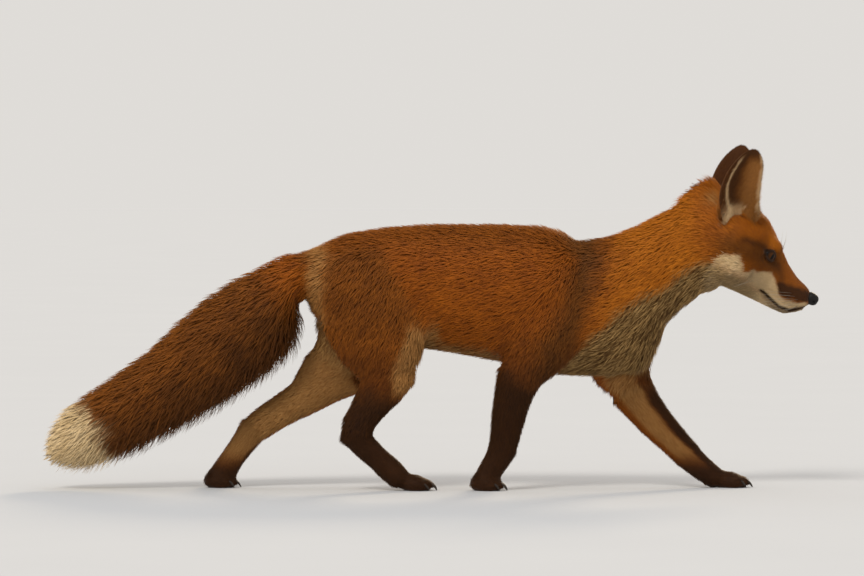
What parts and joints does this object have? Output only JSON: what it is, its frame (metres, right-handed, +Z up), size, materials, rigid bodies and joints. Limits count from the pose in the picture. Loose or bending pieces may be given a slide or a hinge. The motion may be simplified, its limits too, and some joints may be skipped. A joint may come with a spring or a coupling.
{
  "type": "red fox",
  "caption": "Life-size still model of a red fox walking, head low and brush trailing, standing on its own feet.",
  "frame": {"origin": "on the floor, under the middle of the bounding box", "axes": "+X the way the fox walks, +Y its left side, +Z up"},
  "size_m": [1.004, 0.15, 0.4472],
  "materials": {
    "coat": "rufous fur, soft and matt",
    "coat_white": "cream fur, soft and matt",
    "stocking": "short dark brown fur",
    "ear": "short dark brown fur outside, pale hair inside",
    "nose": "moist, pebbled, black",
    "eye": "wet, amber iris with an upright pupil"
  },
  "bodies": {
    "root": {"trunk": "coat", "neck": "coat", "head": "coat", "lower_jaw": "coat", "nose": "nose", "eye_right": "eye", "eye_left": "eye", "ear_right": "ear", "ear_left": "ear", "tail": "coat", "tail_tip": "coat_white", "hind_right_thigh": "coat", "hind_right_shank": "stocking", "hind_right_foot": "stocking", "hind_left_thigh": "coat", "hind_left_shank": "stocking", "hind_left_foot": "stocking", "fore_right_upper_arm": "coat", "fore_right_forearm": "stocking", "fore_right_foot": "stocking", "fore_left_upper_arm": "coat", "fore_left_forearm": "stocking", "fore_left_foot": "stocking"}
  },
  "joints": []
}
